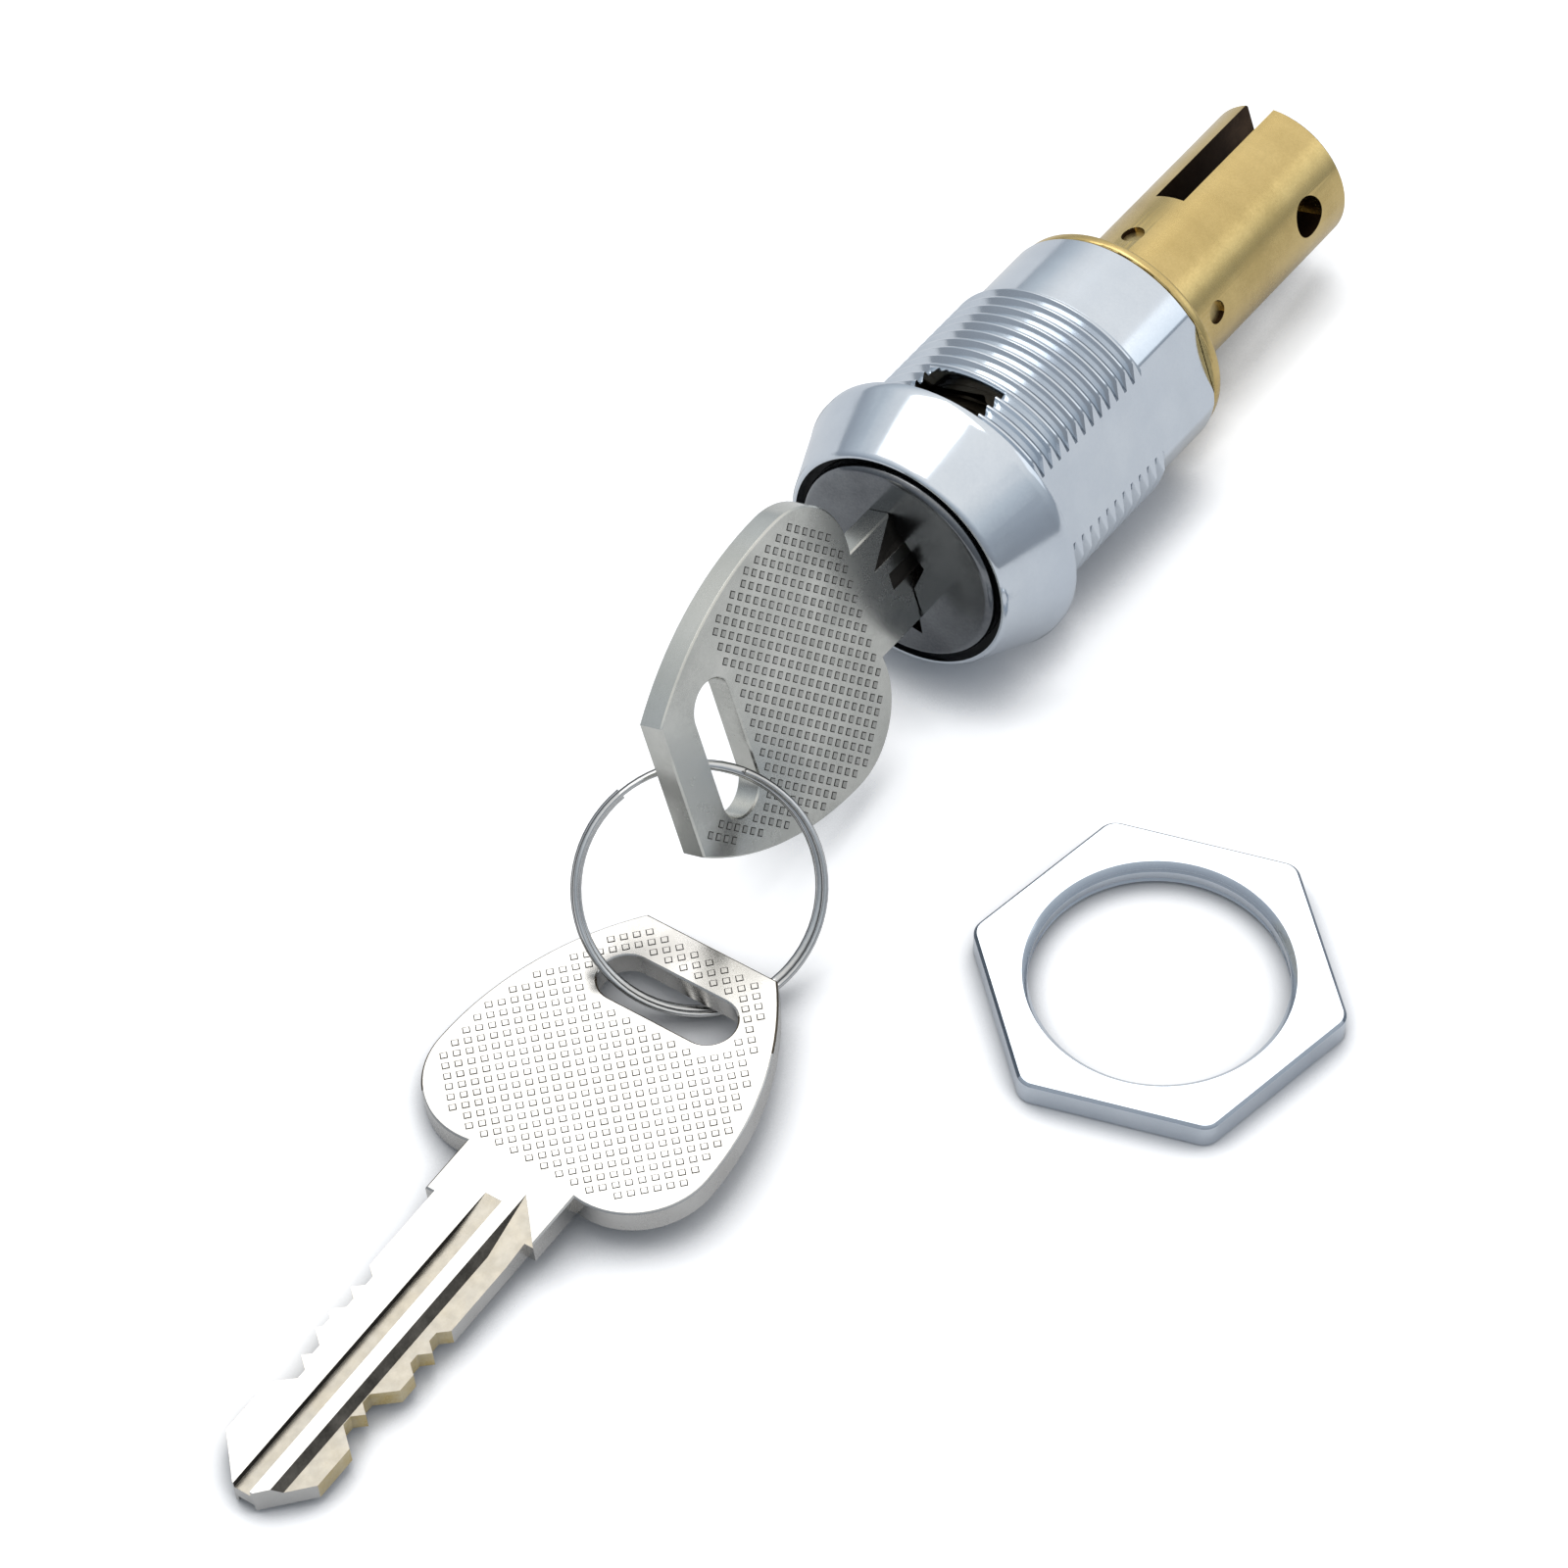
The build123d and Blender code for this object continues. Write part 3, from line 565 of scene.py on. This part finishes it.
def bowHalfWidth(x):  # half of the bow's width at x from the shoulder
    lobeMiddleY = bow["width"] / 2 - bow["lobeRadius"]
    angle = asin((bow["neckWidth"] / 2 - lobeMiddleY) / bow["lobeRadius"])
    lobeMiddleX = bow["neckLength"] + bow["lobeRadius"] * cos(angle)
    if x < lobeMiddleX:
        reach = bow["lobeRadius"] ** 2 - (lobeMiddleX - x) ** 2
        return lobeMiddleY + sqrt(reach) if reach > 0 else 0
    # The flank is one arc, which leaves the lobe straight on and ends at the bow's corner
    run, drop = bow["length"] - lobeMiddleX, (bow["width"] - bow["endWidth"]) / 2
    flankRadius = (run * run + drop * drop) / (2 * drop)
    return bow["width"] / 2 - flankRadius + sqrt(flankRadius ** 2 - (x - lobeMiddleX) ** 2)


def onField(x, y, rubbed):  # true where a square's middle may lie
    margin = bow["margin"]
    if not bow["neckLength"] - bow["neckOverlap"] <= x <= bow["length"] - margin:
        return False
    if rubbed and x > worn["from"] and y < worn["to"]:
        return False
    around = [x + share * margin for share in (-1, -0.5, 0, 0.5, 1)]
    halfWidths = [bowHalfWidth(min(max(place, 0), bow["length"])) for place in around]
    if abs(y) > min(halfWidths) - margin * bow["flankShare"]:
        return False
    straight = bow["slotLength"] / 2 - bow["slotWidth"] / 2
    away = Vector((x - bow["slotReach"], max(abs(y) - straight, 0))).length
    return away > bow["slotWidth"] / 2 + bow["slotMargin"]


def bowSquares(place, pieceName, body, topLook, rubbed):
    bm = bmesh.new()
    turn, plate = radians(bow["turn"]), bow["thick"] / 2
    turned, standing = Matrix.Rotation(turn, 2), Matrix.Rotation(turn, 4, "Z")
    shape = Matrix.Diagonal((bow["square"], bow["square"], 2 * bow["rise"], 1))
    taper = bow["top"] / bow["square"]
    count = int(bow["length"] / bow["pitch"])
    for row in range(-count, count):
        for column in range(-count, count):
            middle = turned @ Vector((row * bow["pitch"], column * bow["pitch"]))
            x, y = middle.x + bow["length"] / 2, middle.y
            if not onField(x, y, rubbed):
                continue
            aboutMiddle = Matrix.Translation((-x, -y, 0))
            for side in (1, -1):
                spot = Matrix.Translation((x, y, side * plate)) @ standing
                cell = bmesh.ops.create_cube(bm, size=1.0, matrix=spot @ shape)["verts"]
                outer = [vert for vert in cell if side * vert.co.z > plate]
                bmesh.ops.scale(bm, verts=outer, vec=(taper, taper, 1), space=aboutMiddle)
    bmesh.ops.transform(bm, matrix=place, verts=bm.verts)
    bm.normal_update()
    turnBack = place.inverted().to_3x3()
    # The squares' walls get painted shade, a near-black outline round each square
    for face in bm.faces:
        face.smooth = False
        isTop = abs((turnBack @ face.normal).normalized().z) > bow["topFacing"]
        face.material_index = 0 if isTop else 1
    piece = newPiece(bm, pieceName, [looks[topLook], looks["wallPaintedShade"]])
    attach(piece, body)
    return piece


# The groove and the ledge milled along the blade, whose floors rise to the face at the bow's end
milled = {
    "grooveFloor": 0.55,  # from the plate's middle plane
    "grooveHalf": 1.2,  # the groove lies no further than this to either side
    "grooveEnd": 2.1,
    "ledgeFloor": 0.4,
    "ledgeSide": 1.95,
    "ledgeEnd": 3.6,
    "riseFrom": -2.4,
    "wallSlope": 0.65,  # the ledge's wall leans out this far
    "noseX": -26.5,  # the pointed end starts here
    "noseSlope": 0.958,
    "runOutDrop": 0.02,  # at their ends the floors are still this far below the face
    "near": 0.02,  # a corner this near to a floor's height lies on it
    "slack": 0.05,  # and so far past a side it still belongs to it
}


def millEnds(bm, place):  # works on the key in its own place, before its edges are rounded
    bmesh.ops.transform(bm, matrix=place.inverted(), verts=bm.verts)
    everything = bm.verts[:] + bm.edges[:] + bm.faces[:]
    start = (milled["riseFrom"], 0, 0)
    bmesh.ops.bisect_plane(bm, geom=everything, dist=0.0001, plane_co=start, plane_no=(1, 0, 0))
    near, slack = milled["near"], milled["slack"]
    top = bow["thick"] / 2 - milled["runOutDrop"]
    for vert in bm.verts:
        side = 1 if vert.co.z > 0 else -1
        x, y, z = vert.co.x, side * vert.co.y, side * vert.co.z
        onGroove = abs(z - milled["grooveFloor"]) < near and abs(y) < milled["grooveHalf"]
        onLedge = abs(z - milled["ledgeFloor"]) < near and y < slack - milled["ledgeSide"]
        if onGroove and x > milled["grooveEnd"] - slack:
            vert.co.z = side * top
        if onLedge:
            if x > milled["riseFrom"] + slack:
                share = (x - milled["riseFrom"]) / (milled["ledgeEnd"] - milled["riseFrom"])
                vert.co.z = side * (z + (top - z) * share)
            elif y > -slack - milled["ledgeSide"]:
                vert.co.y -= side * milled["wallSlope"]
                if x < milled["noseX"]:
                    vert.co.x += milled["wallSlope"] / milled["noseSlope"]
    bmesh.ops.transform(bm, matrix=place, verts=bm.verts)


# A key's faces, in the order of its finishes, and how they are told apart
plateFace, cutFace, millFloor, grooveWall, farEdge, runOut, ledgeWall = range(7)
keyFaces = {
    "cuts": (-27.0, -8.0),  # the cuts' stretch of the blade
    "cutsInside": 2.4,  # the cuts lie further out than this
    "below": 0.06,  # milled faces lie this far below the plate's face
    "level": 0.9,  # faces flatter than this are floors
    "sideways": 0.5,  # faces steeper than this are walls
    "millBand": (-5.0, 1.0),  # from the blade's edge to the groove's far wall
    "millReach": 2.8,
    "grooveFrom": 0.8,
    "ledgeSlack": 0.1,
    "edgeFacing": (0.2, 0.985),  # from nearly upright to nearly flat
    "away": Vector((0.819, 0.574, 0)),  # edges on this side get a thin painted shade line
    "awayFrom": -0.1,
}


def millLook(spot, facing):
    side = 1 if spot.z > 0 else -1
    y, upward = side * spot.y, side * facing.z
    firstCut, lastCut = keyFaces["cuts"]
    isUpright = abs(upward) < keyFaces["sideways"]
    if firstCut < spot.x < lastCut and abs(y) > keyFaces["cutsInside"] and isUpright:
        return cutFace
    below = bow["thick"] / 2 - side * spot.z > keyFaces["below"]
    right, left = keyFaces["millBand"]
    if below and spot.x < milled["ledgeEnd"] and right < y < left:
        if upward > keyFaces["level"]:
            return millFloor if spot.x < milled["riseFrom"] else runOut
        isTip = facing.x <= -keyFaces["sideways"]
        if abs(y) < keyFaces["millReach"] and not isTip:
            # The groove's and the ledge's walls get painted shade
            if y > keyFaces["grooveFrom"]:
                return grooveWall
            if y < keyFaces["ledgeSlack"] - milled["ledgeSide"]:
                return ledgeWall
    # Edges that face away take the dress's edge finish, a painted shade line on the spare key
    upright, flat = keyFaces["edgeFacing"]
    faces = facing.x * keyFaces["away"].x + facing.y * keyFaces["away"].y
    if upright < abs(upward) < flat and faces > keyFaces["awayFrom"]:
        return farEdge
    return plateFace


def dressedKey(nodeName, pieceName, body, dress, place):
    def shape(bm):
        millEnds(bm, place)

    plate = softened(nodeName, pieceName, body, dress["plate"], keyEdges, shape)
    shared = ["cutBrass", "milledNickel", "wallPaintedShade"]
    painted(plate, place, millLook, shared + [dress["edges"], dress["runOut"], dress["ledgeWall"]])
    return bowSquares(place, pieceName + "Squares", body, dress["squares"], dress["worn"])


insertedDress = {
    "plate": "keyNickel",
    "squares": "gridNickel",
    "edges": "keyNickel",
    # Inside the keyway the run-out and the ledge wall get painted shade
    "runOut": "wallPaintedShade",
    "ledgeWall": "wallPaintedShade",
    "worn": True,
}
spareDress = {
    "plate": "spareNickel",
    "squares": "spareNickel",
    "edges": "edgePaintedShade",
    "runOut": "milledNickel",
    "ledgeWall": "ledgePaintedShade",
    "worn": False,
}
dressedKey("key_inserted", "insertedKey", "key", insertedDress, insertedPlace)
spareSquares = dressedKey("key_spare", "spareKey", "spare", spareDress, sparePlace)
print("keys made,", len(spareSquares.data.polygons), "faces of squares on the spare one")

# Key ring: two turns of wire that touch, with a step from the lower one up to the narrower one
ring = {
    "outside": 20.6,
    "wire": 0.9,
    "upper": 0.56,  # the upper turn's width
    "step": 0.95,
    "turn": 120.0,
    "flatTurn": 300,  # degrees of each turn, and of the step between them
    "stepTurn": 60,
    "perStep": 5,
    "sides": 28,
    "endSharp": 1.2,  # radians between the faces at the wire's cut ends
    "endRound": 0.1,
    "steepest": 0.5,  # faces more upright than this get painted shade and reflection
}


def upperShare(spot):  # 0 on the lower turn, 1 on the upper one, between them on the step
    angle, slack = degrees(atan2(spot.y, spot.x)) % 360, 0.1
    if ring["flatTurn"] + slack < angle < 360 - slack:
        return (1 - cos(pi * (angle - ring["flatTurn"]) / ring["stepTurn"])) / 2
    return float(spot.z > 0)


def splitRing():
    bm = bmesh.new()
    radius = (ring["outside"] - ring["wire"]) / 2
    start = Matrix.Translation((radius, 0, -ring["step"] / 2)) @ Matrix.Rotation(pi / 2, 4, "X")
    half, sides = ring["wire"] / 2, ring["sides"]
    section = bmesh.ops.create_circle(bm, cap_ends=True, radius=half, segments=sides, matrix=start)
    live = list({face for vert in section["verts"] for face in vert.link_faces})
    forward = Matrix.Rotation(radians(ring["perStep"]), 3, "Z")
    flat, climb = (ring["flatTurn"], 0), (ring["stepTurn"], ring["step"])
    for run, rise in (flat, climb, flat):
        steps = int(run / ring["perStep"])
        for index in range(steps):
            # The step starts and ends gently
            part = (1 - cos(pi * (index + 1) / steps)) / 2 - (1 - cos(pi * index / steps)) / 2
            made = bmesh.ops.extrude_face_region(bm, geom=live)["geom"]
            bmesh.ops.delete(bm, geom=live, context="FACES_ONLY")
            live = [item for item in made if isinstance(item, bmesh.types.BMFace)]
            verts = list({vert for face in live for vert in face.verts})
            bmesh.ops.rotate(bm, verts=verts, cent=(0, 0, 0), matrix=forward)
            bmesh.ops.translate(bm, verts=verts, vec=(0, 0, rise * part))
    shift = (ring["wire"] - ring["upper"]) / 2
    narrowing = ring["upper"] / ring["wire"] - 1
    for vert in bm.verts:
        outward = Vector((vert.co.x, vert.co.y, 0))
        off = outward.length - radius
        vert.co += outward.normalized() * upperShare(vert.co) * (shift + off * narrowing)
    bmesh.ops.recalc_face_normals(bm, faces=bm.faces)
    roundEdges(bm, sharpEdges(bm, ring["endSharp"]), ring["endRound"], 2)
    turned = Matrix.Rotation(radians(ring["turn"]), 3, "Z")
    bmesh.ops.rotate(bm, verts=bm.verts, cent=(0, 0, 0), matrix=turned)
    bmesh.ops.transform(bm, matrix=ringPlace, verts=bm.verts)
    return finished(bm, "splitRing", "ring", "ringSteel", "key_ring")


def ringSides(spot, facing):  # painted shade and reflection: the wire's steep sides are painted dark
    return int(abs(facing.z) < ring["steepest"])


painted(splitRing(), ringPlace, ringSides, ["ringShade"])
print("ring made")

# Floor, lamps, world and camera
setting = {
    "floorSize": 6.0,
    "floorDrop": 0.002,  # it lies this far below the pieces
    "floorColour": (0.66, 0.67, 0.69),
    "floorRoughness": 0.9,
    "floorGlow": 0.6,  # where it lies open, this much of its white is its own to the camera
    "floorShine": 0.04,  # and as metal mirrors it
    "contactReach": 7.0,  # painted shadow: near an object the floor's own white fades over this distance
    "contactSamples": 8,
    "paintedShadowFade": (0.56, 0.9),  # from none of it to all of it, by how open the floor lies, a painted contact shadow
    "mainLamp": {
        "spot": (-0.38, 0.20, 0.91),
        "power": 3.4,
        "size": 0.8,
        "colour": (1.0, 0.995, 0.98),
    },
    "sideLamp": {
        "spot": (0.60, 0.75, 0.45),
        "power": 0.25,
        "size": 0.4,
        "colour": (0.94, 0.97, 1.0),
    },
    "aim": (0.005, -0.03, 0.0),
    "skyToward": (-0.12, 0.30, 0.95),  # the brightest part of the sky, a little behind the middle
    "skyStops": [
        (0.35, (0.26, 0.28, 0.31)),
        (0.5, (0.32, 0.35, 0.39)),
        (0.62, (0.40, 0.44, 0.49)),
        (0.75, (0.64, 0.69, 0.74)),
        (0.87, (1.0, 1.0, 1.0)),
    ],
}


def makeFloor():
    bm = bmesh.new()
    level = Matrix.Translation((0, 0, (lie["floor"] - setting["floorDrop"]) * mm))
    half = setting["floorSize"] / 2
    bmesh.ops.create_grid(bm, x_segments=1, y_segments=1, size=half, matrix=level)
    paper = bpy.data.materials.new("palePaper")
    paper.use_nodes = True
    tree = paper.node_tree
    shader = tree.nodes["Principled BSDF"]
    shader.inputs["Base Color"].default_value = (*setting["floorColour"], 1)
    shader.inputs["Roughness"].default_value = setting["floorRoughness"]
    shader.inputs["Specular IOR Level"].default_value = 0.0
    path = addNode(tree, "ShaderNodeLightPath")
    # Painted shadow: the floor's own white is faded by ambient occlusion near objects
    openness = addNode(tree, "ShaderNodeAmbientOcclusion", samples=setting["contactSamples"])
    openness.inputs["Distance"].default_value = setting["contactReach"] * mm
    fade = mapBand(tree, setting["paintedShadowFade"])
    byEye = addNode(tree, "ShaderNodeMath", operation="MULTIPLY")
    byEye.inputs[1].default_value = setting["floorGlow"]
    mirrored = addNode(tree, "ShaderNodeMath", operation="MAXIMUM")
    inMetal = addNode(tree, "ShaderNodeMath", operation="MULTIPLY_ADD")
    inMetal.inputs[1].default_value = setting["floorShine"]
    glow = addNode(tree, "ShaderNodeMath", operation="MULTIPLY")
    shader.inputs["Emission Color"].default_value = (1, 1, 1, 1)
    tree.links.new(openness.outputs["AO"], fade.inputs["Value"])
    tree.links.new(path.outputs["Is Camera Ray"], byEye.inputs[0])
    tree.links.new(path.outputs["Is Glossy Ray"], mirrored.inputs[0])
    tree.links.new(path.outputs["Is Transmission Ray"], mirrored.inputs[1])
    tree.links.new(mirrored.outputs[0], inMetal.inputs[0])
    tree.links.new(byEye.outputs[0], inMetal.inputs[2])
    tree.links.new(inMetal.outputs[0], glow.inputs[0])
    tree.links.new(fade.outputs[0], glow.inputs[1])
    tree.links.new(glow.outputs[0], shader.inputs["Emission Strength"])
    floor = newPiece(bm, "paleFloor", [paper])


def makeLamp(name, lamp):
    light = bpy.data.lights.new(name, "AREA")
    light.shape = "SQUARE"
    light.size = lamp["size"]
    light.energy = lamp["power"]
    light.color = lamp["colour"]
    holder = bpy.data.objects.new(name, light)
    holder.location = lamp["spot"]
    aim = Vector(setting["aim"]) - Vector(lamp["spot"])
    holder.rotation_euler = aim.to_track_quat("-Z", "Y").to_euler()
    scene.collection.objects.link(holder)


def makeWorld():
    world = bpy.data.worlds.new("studio")
    world.use_nodes = True
    tree = world.node_tree
    ground = tree.nodes["Background"]
    coords = addNode(tree, "ShaderNodeTexCoord")
    toward = addNode(tree, "ShaderNodeVectorMath", operation="DOT_PRODUCT")
    toward.inputs[1].default_value = Vector(setting["skyToward"]).normalized()
    spread = mapBand(tree, (-1, 1))
    ramp = addNode(tree, "ShaderNodeValToRGB")
    stops = setting["skyStops"]
    while len(ramp.color_ramp.elements) < len(stops):
        ramp.color_ramp.elements.new(0.5)
    for element, (position, colour) in zip(ramp.color_ramp.elements, stops):
        element.position = position
        element.color = (*colour, 1)
    path = addNode(tree, "ShaderNodeLightPath")
    white = addNode(tree, "ShaderNodeMix", data_type="RGBA")
    white.inputs["B"].default_value = (1, 1, 1, 1)
    tree.links.new(coords.outputs["Generated"], toward.inputs[0])
    tree.links.new(toward.outputs["Value"], spread.inputs["Value"])
    tree.links.new(spread.outputs[0], ramp.inputs["Fac"])
    tree.links.new(ramp.outputs["Color"], white.inputs["A"])
    tree.links.new(path.outputs["Is Camera Ray"], white.inputs["Factor"])
    tree.links.new(white.outputs["Result"], ground.inputs["Color"])
    scene.world = world


view = {
    "spot": (0.2453, -0.37016, 0.5640),
    "aim": (-0.00034, -0.02243, -0.01288),
    "lens": 202.5,
    "sensor": 36,
    "clip": (0.01, 20),
}


def makeCamera():
    camera = bpy.data.cameras.new("photoCamera")
    camera.lens = view["lens"]
    camera.sensor_width = view["sensor"]
    camera.clip_start, camera.clip_end = view["clip"]
    holder = bpy.data.objects.new("photoCamera", camera)
    holder.location = view["spot"]
    aim = Vector(view["aim"]) - Vector(view["spot"])
    holder.rotation_euler = aim.to_track_quat("-Z", "Y").to_euler()
    scene.collection.objects.link(holder)
    scene.camera = holder


makeFloor()
for lampName in ("mainLamp", "sideLamp"):
    makeLamp(lampName, setting[lampName])
makeWorld()
makeCamera()
scene.view_settings.view_transform = "Standard"
print("stage, lamps and camera set")
